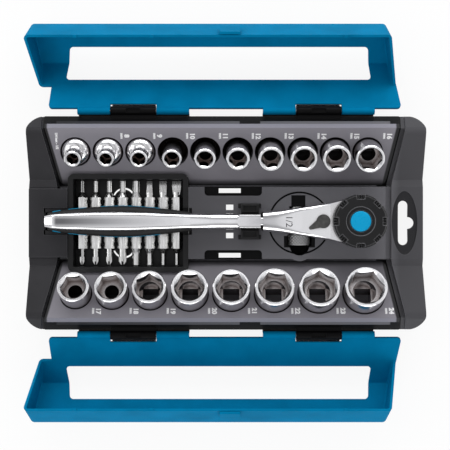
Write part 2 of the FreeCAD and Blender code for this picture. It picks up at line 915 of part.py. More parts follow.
def laid_bit(piece, x, side):
    piece.rotate(vec(0, 0, 0), vec(1, 0, 0), -side * 90)
    piece.translate(vec(x, side * bit_row_gap / 2, tray_floor_height + bit_across / 2))
    return piece


# Ratchet: a forged bar whose rounded sections change along X
def bar_section(x, half_width, low, high):
    radius = min(half_width, (high - low) / 2) * bar_roundness
    plate = rounded_box(-half_width, half_width, low, high, 0, 1, radius)
    base = [f for f in plate.Faces if f.CenterOfMass.z < 0.01][0]
    upright = FreeCAD.Matrix(0, 0, 1, x, 1, 0, 0, ratchet_y, 0, 1, 0, 0, 0, 0, 0, 1)
    return base.OuterWire.transformed(upright)


# Stations in between the given ones, on a smooth line through them
def eased(stations):
    last = len(stations) - 1
    slopes = []
    for i in range(last + 1):
        before, after = stations[max(i - 1, 0)], stations[min(i + 1, last)]
        run = after[0] - before[0]
        slopes.append([(b - a) / run for a, b in zip(before, after)])
    fine = [stations[0]]
    for i in range(last):
        run = stations[i + 1][0] - stations[i][0]
        for step in range(1, bar_steps + 1):
            t = step / bar_steps
            ease = t * t * (3 - 2 * t)
            leave = t * (1 - t) ** 2 * run
            arrive = t * t * (t - 1) * run
            row = zip(stations[i], stations[i + 1], slopes[i], slopes[i + 1])
            fine.append([a + (b - a) * ease + p * leave + q * arrive for a, b, p, q in row])
    return fine


# Stations are given as X, half width, drop below and rise above the ratchet's axis
def bar(stations, proud=0.0):
    z = ratchet_height
    rows = [(x, half + proud, z - drop, z + rise) for x, half, drop, rise in stations]
    return Part.makeLoft([bar_section(*row) for row in eased(rows)], True, True)


def handle_bar():
    return bar(handle_stations)


def ratchet_body():
    z = ratchet_height
    head = head_outline(0, head_bottom, head_top)
    start, full = head_rise
    end = head_x + 2 * head_radius
    rise = [(start, z - head_rise_half), (full, head_bottom), (end, head_bottom)]
    rise += [(end, head_top), (full, head_top), (start, z + head_rise_half)]
    head = head.common(prism_y(rise, -2 * head_radius, 2 * head_radius))
    cuts = [
        disc(gear_radius + slide_fit, head_x, ratchet_y, head_bottom, z + gear_half + seat_gap),
        disc(stem_radius + slide_fit, head_x, ratchet_y, head_bottom, head_top),
        disc(lever_shaft + slide_fit, lever_x, ratchet_y, z - gear_half, head_top),
        disc(lever_radius + slide_fit, lever_x, ratchet_y, head_top - lever_thickness / 2, head_top),
        pawl_shape(slide_fit, z - gear_half - seat_gap, z + gear_half + seat_gap),
    ]
    return handle_bar().fuse(head).cut(cuts).removeSplitter()


# Rocking pawl between the reverse lever and the gear
def pawl_shape(grow, z0, z1):
    near = lever_x + lever_shaft + pawl_near - grow
    gear_edge = gear_radius + slide_fit
    far = head_x - gear_edge + pawl_far + grow
    half = pawl_half + grow
    block = box(near, far, ratchet_y - half, ratchet_y + half, z0, z1)
    return block.cut(disc(gear_edge + pawl_gear_space - grow, head_x, ratchet_y, z0, z1))


def pawl():
    return pawl_shape(-pawl_play, ratchet_height - gear_half, ratchet_height + gear_half)


# Drive: gear, stem and square in one, bored for the release button
button_well = button_stem_radius + spring_wire
square_end = head_bottom - square_length
dial_low = head_top + seat_gap
dial_top = dial_low + dial_thickness
button_low = dial_top + button_proud - button_depth
ball_place = vec(head_x, ratchet_y - square_drive / 2 + ball_radius * ball_sunk, square_end + ball_height)


def gear_outline():
    points = []
    for i in range(2 * gear_teeth):
        radius = gear_radius if i % 2 == 0 else gear_radius - gear_tooth
        angle = math.pi * i / gear_teeth
        points.append((head_x + radius * math.cos(angle), ratchet_y + radius * math.sin(angle)))
    return points


def drive_spindle():
    z = ratchet_height
    gear = prism_z(gear_outline(), z - gear_half, z + gear_half)
    stem = disc(stem_radius, head_x, ratchet_y, z, head_top + seat_gap)
    collar = disc(collar_radius - slide_fit, head_x, ratchet_y, head_bottom, z)
    square = polygon_z(4, square_drive / math.sqrt(2), square_end, z, math.pi / 4)
    square.translate(vec(head_x, ratchet_y, 0))
    bore = disc(button_stem_radius + slide_fit, head_x, ratchet_y, square_end + stem_bore_floor, dial_top)
    well = disc(button_well, head_x, ratchet_y, z, dial_top)
    seat_start = ball_place + vec(0, ball_radius * ball_seat_reach, 0)
    seat = Part.makeCylinder(ball_radius + press_clearance, square_drive, seat_start, vec(0, -1, 0))
    return fused([gear, stem, collar, square]).cut([bore, well, seat])


def detent_ball():
    return Part.makeSphere(ball_radius, ball_place)


def retaining_ring():
    top = ratchet_height - gear_half - seat_gap
    ring = disc(gear_radius + slide_fit - press_clearance, head_x, ratchet_y, head_bottom, top)
    return ring.cut(disc(collar_radius, head_x, ratchet_y, head_bottom, top))


# Dial that spins the drive by hand, with notches let into its rim
def spinner_dial():
    dial = disc(dial_radius, head_x, ratchet_y, dial_low, dial_top)
    rim = [e for e in dial.Edges if abs(e.CenterOfMass.z - dial_top) < 0.01]
    dial = dial.makeChamfer(dial_bevel, rim)
    half = dial_notch_width / 2
    cuts = [
        disc(dial_ring_radius, head_x, ratchet_y, dial_top - dial_ring_depth, dial_top),
        disc(button_radius + slide_fit, head_x, ratchet_y, button_low - button_travel - seat_gap, dial_top),
        disc(button_well, head_x, ratchet_y, dial_low, dial_top),
    ]
    for i in range(dial_lobes):
        x0 = head_x + dial_notch_reach
        y = (ratchet_y - half, ratchet_y + half)
        notch = box(x0, x0 + dial_radius, *y, dial_low + dial_notch_floor, dial_top)
        notch.rotate(vec(head_x, ratchet_y, 0), vec(0, 0, 1), 360 * i / dial_lobes)
        cuts.append(notch)
    return dial.cut(cuts)


def release_button():
    top = button_low + button_depth
    cap = disc(button_radius, head_x, ratchet_y, button_low, top)
    cap = cap.makeFillet(button_edge, [e for e in cap.Edges if abs(e.CenterOfMass.z - top) < 0.01])
    foot = ball_place.z + ball_radius + button_travel + seat_gap
    return cap.fuse(disc(button_stem_radius, head_x, ratchet_y, foot, button_low))


# Coil spring under the button, drawn as a sleeve at its pressed length
def button_spring():
    top = button_low - button_travel - 2 * seat_gap
    sleeve = disc(button_well - slide_fit, head_x, ratchet_y, ratchet_height, top)
    return sleeve.cut(disc(button_stem_radius + slide_fit, head_x, ratchet_y, ratchet_height, top))


def reverse_lever():
    low = head_top - lever_thickness / 2 + seat_gap
    top = low + lever_thickness
    hub = vec(lever_x, ratchet_y, 0)
    angle = math.radians(lever_rest)
    ahead = vec(math.cos(angle), math.sin(angle), 0)
    side = vec(-ahead.y, ahead.x, 0)
    end = hub + ahead * lever_tail
    root = side * lever_radius * lever_tail_root
    tip = side * lever_tail_half
    corners = [hub + root, end + tip, end - tip, hub - root]
    cap = disc(lever_radius, lever_x, ratchet_y, low, top)
    tail = prism_z([(c.x, c.y) for c in corners], head_top + seat_gap, top)
    tail_end = disc(lever_tail_half, end.x, end.y, head_top + seat_gap, top)
    shaft = disc(lever_shaft, lever_x, ratchet_y, ratchet_height - gear_half + seat_gap, low)
    return fused([cap, tail, tail_end, shaft])


# Rubber sleeve round the handle, open along the top where the steel shows
def grip_sleeve():
    inlays = [grip_inlay(side) for side in (-1, 1)]
    return bar(grip_stations).cut([handle_bar()] + inlays)


# Coloured inlay along one side of the grip: three slivers on a strip inside the sleeve
def grip_inlay(side):
    low, high = ratchet_height + inlay_low, ratchet_height + inlay_high
    bars = [(x0, x1, head_radius) for x0, x1 in inlay_slivers]
    bars.append((inlay_slivers[0][0], inlay_slivers[-1][1], inlay_strip))
    solids = []
    for x0, x1, reach in bars:
        y = sorted([ratchet_y + side * inlay_core, ratchet_y + side * reach])
        solids.append(box(x0, x1, y[0], y[1], low, high))
    return fused(solids).common(bar(grip_stations, inlay_proud)).cut(handle_bar())


# Adapter from the square drive to the next smaller square, lying along Y
def drive_adapter():
    z = adapter_height
    along = vec(0, 1, 0)
    front = vec(adapter_x, adapter_front, z)
    middle = vec(adapter_x, adapter_shoulder, z)
    back = adapter_shoulder + adapter_body_length
    half = adapter_square / 2
    mouth = square_drive / 2
    head = Part.makeCylinder(adapter_head_radius, adapter_head_length, front, along)
    rims = [e for e in head.Edges if len(e.Vertexes) == 1]
    head = head.makeChamfer(socket_edge, rims)
    narrow = adapter_body_radius * adapter_body_taper
    body = Part.makeCone(adapter_body_radius, narrow, adapter_body_length, middle, along)
    square = box(adapter_x - half, adapter_x + half, back, adapter_back, z - half, z + half)
    opening = (adapter_x - mouth, adapter_x + mouth, adapter_front, adapter_front + adapter_mouth_depth)
    return fused([head, body, square]).cut(box(*opening, z - mouth, z + mouth))


def socket_pieces():
    drive = drive_end_diameter / 2
    dome = (dome_height, dome_length)
    step = (step_height, step_length)
    places = small_row()
    made = {}
    holder = socket_blank(bit_holder_diameter / 2, drive, dome)
    made["bit_holder"] = seated(socket(bit_across, holder, bit_holder_turn), places[0], 1)
    for size, diameter, turn, x in zip(small_sizes, small_diameters, small_turns, places[1:]):
        blank = socket_blank(diameter / 2, drive, dome if size in domed_sizes else step)
        made["socket_%02d" % size] = seated(socket(size, blank, turn), x, 1)
    for size, diameter, turn, x in zip(large_sizes, large_diameters, large_turns, large_row()):
        blank = socket_blank(diameter / 2, diameter / 2, None)
        made["socket_%02d" % size] = seated(socket(size, blank, turn), x, -1)
    return made


def bit_pieces():
    upper = [torx_bit(r) for r in torx_radii] + [slotted_bit(w) for w in slotted_widths]
    lower = [cross_bit(r) for r in cross_radii] + [hex_bit(a) for a in hex_key_sizes]
    made = {}
    for i, x in enumerate(bit_centres()):
        made["bit_upper_%d" % (i + 1)] = laid_bit(upper[i], x, 1)
        made["bit_lower_%d" % (i + 1)] = laid_bit(lower[i], x, -1)
    return made


def pieces():
    made = {
        "case_body": case_body(),
        "socket_panel_upper": socket_panel(1),
        "socket_panel_lower": socket_panel(-1),
        "bit_tray": bit_tray(),
        "lid_upper": lid(1),
        "lid_lower": lid(-1),
        "ratchet_body": ratchet_body(),
        "drive_spindle": drive_spindle(),
        "retaining_ring": retaining_ring(),
        "spinner_dial": spinner_dial(),
        "release_button": release_button(),
        "button_spring": button_spring(),
        "detent_ball": detent_ball(),
        "reverse_lever": reverse_lever(),
        "pawl": pawl(),
        "grip_sleeve": grip_sleeve(),
        "grip_inlay_upper": grip_inlay(1),
        "grip_inlay_lower": grip_inlay(-1),
        "drive_adapter": drive_adapter(),
    }
    for name, side in (("upper", 1), ("lower", -1)):
        for index, end in enumerate(("left", "right")):
            made["hinge_pin_" + name + "_" + end] = hinge_pin(side, index)
    made.update(socket_pieces())
    made.update(bit_pieces())
    return made


os.makedirs("parts", exist_ok=True)
for name, shape in pieces().items():
    shape.exportStep("parts/" + name + ".step")
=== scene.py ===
import bpy
import math
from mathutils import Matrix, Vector


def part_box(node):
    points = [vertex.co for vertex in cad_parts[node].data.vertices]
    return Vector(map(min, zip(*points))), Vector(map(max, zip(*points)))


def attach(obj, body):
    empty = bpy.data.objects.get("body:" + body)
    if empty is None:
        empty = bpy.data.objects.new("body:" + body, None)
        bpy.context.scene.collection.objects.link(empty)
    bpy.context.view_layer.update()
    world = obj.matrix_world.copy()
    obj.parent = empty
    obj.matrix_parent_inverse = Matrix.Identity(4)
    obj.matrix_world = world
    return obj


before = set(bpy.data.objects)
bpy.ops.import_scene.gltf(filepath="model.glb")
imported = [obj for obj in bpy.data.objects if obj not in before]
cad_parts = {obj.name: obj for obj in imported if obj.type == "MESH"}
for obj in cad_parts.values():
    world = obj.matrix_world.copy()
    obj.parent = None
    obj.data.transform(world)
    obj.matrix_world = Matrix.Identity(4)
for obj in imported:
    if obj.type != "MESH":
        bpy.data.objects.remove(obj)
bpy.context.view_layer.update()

bpy.ops.object.select_all(action="DESELECT")
bpy.context.scene.view_settings.view_transform = "Standard"

# The studio: a white paper floor under a pale tent that darkens overhead on the left, two
# long strip boxes along the case, a small one at its left end, and a camera straight above.


def new_material(name):
    material = bpy.data.materials.new(name)
    material.use_nodes = True
    tree = material.node_tree
    return material, tree, tree.nodes["Principled BSDF"]


def maths(tree, operation, first, second=None):
    step = tree.nodes.new("ShaderNodeMath")
    step.operation = operation
    for socket, value in zip(step.inputs, (first, second)):
        if isinstance(value, (int, float)):
            socket.default_value = value
        elif value is not None:
            tree.links.new(value, socket)
    return step.outputs[0]


def either(tree, *masks):
    most = masks[0]
    for mask in masks[1:]:
        most = maths(tree, "MAXIMUM", most, mask)
    return most


bpy.ops.mesh.primitive_plane_add(size=6.0)
floor = bpy.context.object
floor.name = "paper_floor"
white_paper, tree, shade = new_material("white_paper")
shade.inputs["Base Color"].default_value = (0.84, 0.84, 0.84, 1)
shade.inputs["Roughness"].default_value = 0.9
rays = tree.nodes.new("ShaderNodeLightPath").outputs
seen = either(tree, rays["Is Camera Ray"], rays["Is Glossy Ray"], rays["Is Transmission Ray"])
glow = tree.nodes.new("ShaderNodeEmission")
blend = tree.nodes.new("ShaderNodeMixShader")
tree.links.new(maths(tree, "MULTIPLY", seen, 0.9), blend.inputs["Fac"])
tree.links.new(shade.outputs["BSDF"], blend.inputs[1])
tree.links.new(glow.outputs["Emission"], blend.inputs[2])
tree.links.new(blend.outputs["Shader"], tree.nodes["Material Output"].inputs["Surface"])
floor.data.materials.append(white_paper)

tent = bpy.data.worlds.new("pale_tent")
bpy.context.scene.world = tent
tent.use_nodes = True
tree = tent.node_tree
sky = tree.nodes.new("ShaderNodeTexCoord")
overhead = tree.nodes.new("ShaderNodeVectorMath")
overhead.operation = "DOT_PRODUCT"
overhead.inputs[1].default_value = (-0.35, 0.0, 0.937)
tree.links.new(sky.outputs["Generated"], overhead.inputs[0])
tent_tones = tree.nodes.new("ShaderNodeValToRGB")
tent_tones.color_ramp.elements[0].color = (1.0, 1.0, 1.0, 1)
tent_tones.color_ramp.elements[1].color = (0.75, 0.75, 0.76, 1)
tent_bands = (
    (0.25, 0.75), (0.48, 0.4), (0.6, 0.8), (0.7, 0.75), (0.78, 0.3), (0.87, 0.42), (0.92, 0.85),
)
for height, tone in tent_bands:
    tent_tones.color_ramp.elements.new(height).color = (tone, tone, 1.02 * tone, 1)
tree.links.new(overhead.outputs["Value"], tent_tones.inputs["Fac"])
tree.links.new(tent_tones.outputs["Color"], tree.nodes["Background"].inputs["Color"])


def strip_box(name, place, size, power):
    bpy.ops.object.light_add(type="AREA", location=place)
    lamp = bpy.context.object
    lamp.name = name
    lamp.data.shape = "RECTANGLE"
    lamp.data.size, lamp.data.size_y = size
    lamp.data.energy = power
    case_middle = Vector((0, 0, 0.02))
    toward_case = case_middle - Vector(place)
    lamp.rotation_euler = toward_case.to_track_quat("-Z", "Y").to_euler()


strip_box("rear_strip", (0.0, 1.0, 0.62), (1.8, 0.5), 10.0)
strip_box("front_strip", (0.0, -1.0, 0.6), (1.8, 0.5), 5.5)
strip_box("end_box", (-0.85, 0.1, 0.6), (0.5, 0.4), 1.2)

bpy.ops.object.camera_add(location=(-0.0008, -0.0016, 0.8), rotation=(0, 0, 0))
camera = bpy.context.object
camera.data.lens = 79.6
camera.data.sensor_width = 36.0
bpy.context.scene.camera = camera


# The case body: one moulding in black engineering plastic with a fine spark-eroded grain.
# Deck and end bumpers are dark grey, with painted light that grows towards the right, painted
# highlights along their edges and painted shade in the hanger dish. Walls, slots, seams and
# recesses are painted black as shade, and the clips are black.


def object_noise(tree, scale, detail=3.0, stretch=(1.0, 1.0, 1.0)):
    place = tree.nodes.new("ShaderNodeTexCoord")
    turn = tree.nodes.new("ShaderNodeMapping")
    turn.inputs["Scale"].default_value = stretch
    tree.links.new(place.outputs["Object"], turn.inputs["Vector"])
    noise = tree.nodes.new("ShaderNodeTexNoise")
    noise.inputs["Scale"].default_value = scale
    noise.inputs["Detail"].default_value = detail
    tree.links.new(turn.outputs["Vector"], noise.inputs["Vector"])
    return noise.outputs["Fac"]


def spread(tree, value, low, high, from_low=0.3, from_high=0.7):
    fit = tree.nodes.new("ShaderNodeMapRange")
    fit.inputs["From Min"].default_value = from_low
    fit.inputs["From Max"].default_value = from_high
    fit.inputs["To Min"].default_value = low
    fit.inputs["To Max"].default_value = high
    tree.links.new(value, fit.inputs["Value"])
    return fit.outputs["Result"]


def two_tone(tree, amount, first, second):
    mix = tree.nodes.new("ShaderNodeMix")
    mix.data_type = "RGBA"
    tree.links.new(amount, mix.inputs["Factor"])
    for socket, tone in ((mix.inputs[6], first), (mix.inputs[7], second)):
        if isinstance(tone, tuple):
            socket.default_value = (*tone, 1)
        else:
            tree.links.new(tone, socket)
    return mix.outputs[2]


def surface_relief(tree, shade, relief, strength, depth, edge):
    bump = tree.nodes.new("ShaderNodeBump")
    bump.inputs["Strength"].default_value = strength
    bump.inputs["Distance"].default_value = depth
    tree.links.new(relief, bump.inputs["Height"])
    tree.links.new(bump.outputs["Normal"], shade.inputs["Normal"])
    if edge:
        soft = tree.nodes.new("ShaderNodeBevel")
        soft.samples = 4
        soft.inputs["Radius"].default_value = edge
        tree.links.new(soft.outputs["Normal"], bump.inputs["Normal"])


def moulded(name, tone, rough, gloss=0.25, grain=1100.0, relief=0.25, edge=0.0004):
    material, tree, shade = new_material(name)
    mottle = spread(tree, object_noise(tree, 45.0), 0.0, 1.0)
    dark = tuple(0.88 * part for part in tone)
    light = tuple(1.12 * part for part in tone)
    colour = two_tone(tree, mottle, dark, light)
    tree.links.new(colour, shade.inputs["Base Color"])
    shade.inputs["Specular IOR Level"].default_value = gloss
    fine = object_noise(tree, grain, 2.0)
    tree.links.new(spread(tree, fine, rough - 0.06, rough + 0.06), shade.inputs["Roughness"])
    surface_relief(tree, shade, fine, relief, 0.0002, edge)
    return material, tree, shade, colour


# A mask of convex and concave edges, used for painted edge highlights.
def edge_lines(tree, radius):
    soft = tree.nodes.new("ShaderNodeBevel")
    soft.samples = 6
    soft.inputs["Radius"].default_value = radius
    plain = tree.nodes.new("ShaderNodeNewGeometry")
    turn = tree.nodes.new("ShaderNodeVectorMath")
    turn.operation = "DOT_PRODUCT"
    tree.links.new(soft.outputs["Normal"], turn.inputs[0])
    tree.links.new(plain.outputs["Normal"], turn.inputs[1])
    return spread(tree, turn.outputs["Value"], 1.0, 0.0, 0.8, 0.985)


def axes(tree):
    place = tree.nodes.new("ShaderNodeTexCoord")
    split = tree.nodes.new("ShaderNodeSeparateXYZ")
    tree.links.new(place.outputs["Object"], split.inputs["Vector"])
    return split.outputs["X"], split.outputs["Y"], split.outputs["Z"]


def within(tree, *ranges):
    mask = None
    for value, low, high in ranges:
        above = maths(tree, "GREATER_THAN", value, low)
        band = maths(tree, "MULTIPLY", above, maths(tree, "LESS_THAN", value, high))
        mask = band if mask is None else maths(tree, "MULTIPLY", mask, band)
    return mask


def panel_ends(tree, along, out):
    flange_reach, left_lean, right_lean = 0.0728, 0.231, 0.196
    inward = maths(tree, "SUBTRACT", flange_reach, out)
    left = maths(tree, "SUBTRACT", along, maths(tree, "MULTIPLY", inward, left_lean))
    right = maths(tree, "ADD", along, maths(tree, "MULTIPLY", inward, right_lean))
    return left, right


def sum_of_squares(tree, first, second):
    squares = [maths(tree, "MULTIPLY", part, part) for part in (first, second)]
    return maths(tree, "ADD", *squares)


def wear(names, material):
    for name in names:
        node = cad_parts[name]
        node.data.materials.clear()
        node.data.materials.append(material)


clip_black_and_shade = (0.003, 0.003, 0.0033)
lit_deck_grey, lit_end_grey = (0.135, 0.1335, 0.1445), (0.064, 0.0633, 0.0685)
edge_highlight_grey, hanger_dish_shade = (0.16, 0.16, 0.17), (0.026, 0.0257, 0.028)
past_case = 0.2
case_plastic, tree, shade, grey = moulded("case_plastic", (0.029, 0.0285, 0.031), 0.46, 0.08)
along, across, up = axes(tree)
out = maths(tree, "ABSOLUTE", across)
# Painted shade: walls, recess floors, the slots under the neck and the seams at the panel ends are
# painted black; the clips share that black as their own colour.
wall = within(tree, (out, 0.0788, past_case), (along, -0.1375, 0.1325))
sunk = within(tree, (out, -past_case, 0.0284), (up, -past_case, 0.0247), (along, -0.139, 0.122))
clip = within(tree, (along, 0.0105, 0.0265), (up, 0.0258, past_case))
stem_slot = within(tree, (along, 0.0508, 0.0618), (across, 0.0118, 0.0216))
head_slot = within(tree, (along, 0.0451, 0.0693), (across, -0.0191, -0.0100))
left, right = panel_ends(tree, along, out)
seam = either(tree, within(tree, (left, -0.1405, -0.130)), within(tree, (right, 0.126, 0.1345)))
seam = maths(tree, "MULTIPLY", seam, within(tree, (out, 0.0285, past_case)))
black = either(tree, wall, sunk, clip, stem_slot, head_slot, seam)
# Painted light: the deck grows lighter from left to right, and the right end bumper takes a dimmer
# lit grey.
deck_light_and_shade = two_tone(tree, spread(tree, along, 0.0, 1.0, -0.12, 0.06), grey, lit_deck_grey)
deck_light_and_shade = two_tone(tree, spread(tree, along, 0.0, 1.0, 0.125, 0.135), deck_light_and_shade, lit_end_grey)
# Painted highlight along the edges of the deck, bumpers and blocks.
edge_highlight = maths(tree, "MULTIPLY", edge_lines(tree, 0.0007), 0.5)
deck_light_and_shade = two_tone(tree, edge_highlight, deck_light_and_shade, edge_highlight_grey)
# Painted shade in the hollow dish round the hanger hole.
dish_middle, dish_half_length, dish_half_width = 0.139, 0.0099, 0.0247
dish_x = maths(tree, "DIVIDE", maths(tree, "SUBTRACT", along, dish_middle), dish_half_length)
dish_y = maths(tree, "DIVIDE", across, dish_half_width)
dish_shade = within(tree, (sum_of_squares(tree, dish_x, dish_y), -1.0, 1.0))
deck_light_and_shade = two_tone(tree, dish_shade, deck_light_and_shade, hanger_dish_shade)
tree.links.new(two_tone(tree, black, deck_light_and_shade, clip_black_and_shade), shade.inputs["Base Color"])
wear(["case_body"], case_plastic)

# Parts of the case that the deck carries: a trough under each end of the handle, a ledge below
# each hinge, and the two snap blocks that hold the ratchet's neck. All are the case's plastic,
# moulded in one with it, with a small radius on every edge.


def block(name, low, high, edge):
    bpy.ops.object.select_all(action="DESELECT")
    bpy.ops.mesh.primitive_cube_add(size=1.0)
    body = bpy.context.object
    body.name = name
    body.scale = [b - a for a, b in zip(low, high)]
    body.location = [(a + b) / 2 for a, b in zip(low, high)]
    bpy.ops.object.transform_apply(location=True, rotation=False, scale=True)
    bpy.ops.object.mode_set(mode="EDIT")
    bpy.ops.mesh.select_all(action="SELECT")
    bpy.ops.mesh.bevel(offset=edge, segments=2, affect="EDGES")
    bpy.ops.object.mode_set(mode="OBJECT")
    return body


def copied(piece, shift, turn=0.0):
    bpy.ops.object.select_all(action="DESELECT")
    piece.select_set(True)
    bpy.context.view_layer.objects.active = piece
    bpy.ops.object.duplicate(linked=False)
    twin = bpy.context.object
    twin.rotation_mode = "XYZ"
    twin.rotation_euler = (0, 0, turn)
    twin.location = shift
    bpy.ops.object.transform_apply(location=True, rotation=True, scale=False)
    return twin


def joined(name, parts):
    bpy.ops.object.select_all(action="DESELECT")
    for part in parts:
        part.select_set(True)
    bpy.context.view_layer.objects.active = parts[0]
    bpy.ops.object.join()
    parts[0].name = name
    return parts[0]


def finish_piece(piece, material, body):
    piece.data.materials.clear()
    piece.data.materials.append(material)
    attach(piece, body)


trough_grey = moulded("trough_plastic", (0.016, 0.0157, 0.017), 0.46, 0.16)[0]
ratchet_y = 0.0012
trough_half, trough_inner = 0.0126, 0.0106
trough_under, trough_floor, side_foot, side_rim = 0.0182, 0.0204, 0.0195, 0.0232
trough_edge = 0.0003


def trough(start, end):
    near, far = ratchet_y - trough_half, ratchet_y + trough_half
    bottom = block("bottom", (start, near, trough_under), (end, far, trough_floor), trough_edge)
    side_low = (start, ratchet_y + trough_inner, side_foot)
    side = block("side", side_low, (end, far, side_rim), trough_edge)
    return [bottom, side, copied(side, (0, -(trough_inner + trough_half), 0))]


tray_low, tray_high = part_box("bit_tray")
left_end = -0.1420
end_half, end_bottom, end_top = 0.0104, 0.0200, 0.0264
left_walls = trough(-0.1432, tray_low[0] - 0.0002)
end_low = (left_end, ratchet_y - end_half, end_bottom)
end_high = (-0.1404, ratchet_y + end_half, end_top)
left_walls.append(block("trough_end", end_low, end_high, trough_edge))
wedge_low = (left_end, ratchet_y + 0.0066, end_bottom)
wedge = block("trough_wedge", wedge_low, (-0.1195, ratchet_y + end_half, end_top), 0.0002)
wedge_start, wedge_taper = -0.1385, 0.185
for corner in wedge.data.vertices:
    if corner.co.y < ratchet_y + 0.0085:
        corner.co.y += max(0.0, corner.co.x - wedge_start) * wedge_taper
far_wedge = copied(wedge, (0, 0, 0))
for corner in far_wedge.data.vertices:
    corner.co.y = 2 * ratchet_y - corner.co.y
far_wedge.data.flip_normals()
left_walls += [wedge, far_wedge]
finish_piece(joined("trough_left", left_walls), trough_grey, "case")
right_walls = trough(tray_high[0] + 0.0002, -0.0235)
finish_piece(joined("trough_right", right_walls), trough_grey, "case")

black_plastic = moulded("black_plastic", (0.006, 0.006, 0.0065), 0.42)[0]
hinge_x = 0.0722
ledges = []
for name, half, inner, outer, bottom, top in (
    ("hinge_ledge", 0.0435, 0.0808, 0.0866, 0.0150, 0.0195),
    ("hinge_shelf", 0.0172, 0.0835, 0.0928, 0.0160, 0.0188),
):
    ledge = block(name, (hinge_x - half, inner, bottom), (hinge_x + half, outer, top), 0.0006)
    ledges.append(ledge)
    for along_case, across_case in ((1, 0), (0, 1), (1, 1)):
        shift = (-2 * hinge_x * along_case, -(inner + outer) * across_case, 0)
        ledges.append(copied(ledge, shift))
finish_piece(joined("hinge_ledges", ledges), black_plastic, "case")

snap_inner, snap_outer = 0.00635, 0.0136
snap_low = (0.0116, ratchet_y + snap_inner, 0.0252)
snap = block("snap", snap_low, (0.0254, ratchet_y + snap_outer, 0.0318), 0.0007)
bpy.ops.object.mode_set(mode="EDIT")
bpy.ops.mesh.select_all(action="DESELECT")
bpy.ops.object.mode_set(mode="OBJECT")
top_face = max(snap.data.polygons, key=lambda face: face.area * max(face.normal.z, 0.0))
top_face.select = True
bpy.ops.object.mode_set(mode="EDIT")
bpy.ops.mesh.select_mode(type="FACE")
bpy.ops.mesh.inset(thickness=0.001)
bpy.ops.mesh.extrude_region_move(TRANSFORM_OT_translate={"value": (0, 0, -0.0022)})
bpy.ops.object.mode_set(mode="OBJECT")
foot_inner, foot_outer = 0.0105, 0.0140
foot_low = (0.0094, ratchet_y + foot_inner, 0.0250)
foot = block("snap_foot", foot_low, (0.0272, ratchet_y + foot_outer, 0.0268), 0.0005)
far_snap = copied(snap, (0, -(snap_inner + snap_outer), 0))
far_foot = copied(foot, (0, -(foot_inner + foot_outer), 0))
neck_snaps = joined("neck_snaps", [snap, foot, far_snap, far_foot])
finish_piece(neck_snaps, black_plastic, "case")

# The two socket panels: grey moulded liners, pressed into the case at a slope, with a plain
# bevelled flange along the outer edge. Painted light makes them paler towards the flange and
# paler still on it, and painted shade darkens their inner edge and both ends.
panel_top_light, panel_flange_light = (0.225, 0.217, 0.243), (0.235, 0.228, 0.26)
panel_margin_shade = (0.012, 0.012, 0.013)
panel_plastic, tree, shade, grey = moulded("panel_plastic", (0.118, 0.112, 0.126), 0.5)
along, across, _ = axes(tree)
out = maths(tree, "ABSOLUTE", across)
# Painted light grows towards the flange; painted shade darkens the inner edge and the ends.
panel_light = two_tone(tree, spread(tree, out, 0.0, 1.0, 0.03, 0.074), grey, panel_top_light)
panel_light = two_tone(tree, within(tree, (out, 0.0729, past_case)), panel_light, panel_flange_light)
left, right = panel_ends(tree, along, out)
margin_shade = either(
    tree,
    spread(tree, out, 1.0, 0.0, 0.0302, 0.0345),
    spread(tree, left, 1.0, 0.0, -0.1378, -0.1368),
    spread(tree, right, 0.0, 1.0, 0.1300, 0.1310),
)
tree.links.new(two_tone(tree, margin_shade, panel_light, panel_margin_shade), shade.inputs["Base Color"])
wear(["socket_panel_upper", "socket_panel_lower"], panel_plastic)

# The size numbers: white ink pad-printed on the panels beside each socket, turned to read
# down the slope, with the unit in a smaller line beside the number.
white_ink, tree, shade = new_material("white_ink")
worn = spread(tree, object_noise(tree, 900.0), 0.0, 1.0)
ink_tone = two_tone(tree, worn, (0.72, 0.72, 0.73), (0.9, 0.9, 0.9))
tree.links.new(ink_tone, shade.inputs["Base Color"])
shade.inputs["Roughness"].default_value = 0.6
panel_slope, panel_foot_reach, panel_foot_height = math.radians(23.0), 0.0295, 0.0194
ink_height = 0.00004
number_size, unit_size, unit_step = 0.0050, 0.0030, 0.0037


def lettering(words, size, swell=0.0, height=0.0):
    bpy.ops.object.select_all(action="DESELECT")
    bpy.ops.object.text_add()
    letters = bpy.context.object
    letters.data.body = words
    letters.data.size = size
    letters.data.offset = swell
    letters.data.align_x = "CENTER"
    letters.data.align_y = "CENTER"
    letters.data.resolution_u = 3
    letters.data.extrude = height
    bpy.ops.object.convert(target="MESH")
    letters = bpy.context.object
    letters.rotation_mode = "XYZ"
    letters.rotation_euler = (0, 0, -math.pi / 2)
    bpy.ops.object.transform_apply(location=False, rotation=True, scale=False)
    return letters


def panel_print(words, size, x, reach, side):
    ink_mark = lettering(words, size, 0.055 * size, ink_height)
    rise = (reach - panel_foot_reach) * math.tan(panel_slope)
    ink_mark.rotation_euler = (side * panel_slope, 0, 0)
    ink_mark.location = (x, side * reach, panel_foot_height + rise + 1.2 * ink_height)
    bpy.ops.object.transform_apply(location=True, rotation=True, scale=False)
    return ink_mark


def numbered(name, sizes, places, reach, side, extra):
    marks = [panel_print(str(size), number_size, x, reach, side) for size, x in zip(sizes, places)]
    unit = panel_print("mm", unit_size, places[0] - unit_step, reach, side)
    units = [unit] + [copied(unit, (x - places[0], 0, 0)) for x in places[1:]]
    finish_piece(joined(name, marks + units + extra), white_ink, "case")


